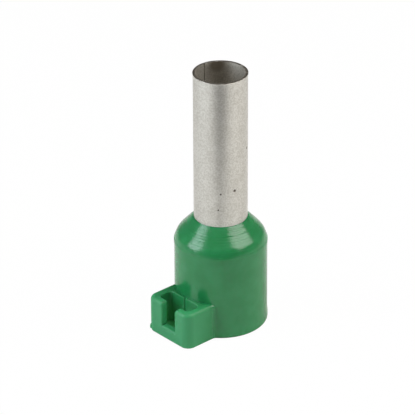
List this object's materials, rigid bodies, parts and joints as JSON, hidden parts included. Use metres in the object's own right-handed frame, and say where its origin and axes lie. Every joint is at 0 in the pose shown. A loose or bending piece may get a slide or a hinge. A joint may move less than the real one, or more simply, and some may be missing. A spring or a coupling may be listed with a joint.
{
  "type": "insulated wire ferrule",
  "caption": "Insulated crimp ferrule: a thin tinned copper sleeve in a green plastic collar with a marker-tag pocket on its side.",
  "frame": {"origin": "centre of the collar's mouth, where the insulated wire enters, on the plane that the ferrule stands on", "axes": "+Z along the sleeve, away from the wire; -Y towards the slotted front of the tag holder; +X to its right seen from the front"},
  "size_m": [0.007, 0.0088, 0.02],
  "materials": {
    "tinned_copper": "satin tin plating on rolled copper strip, finely mottled",
    "green_plastic": "glossy green moulded plastic"
  },
  "bodies": {
    "root": {"sleeve": "tinned_copper", "collar": "green_plastic"}
  },
  "joints": []
}
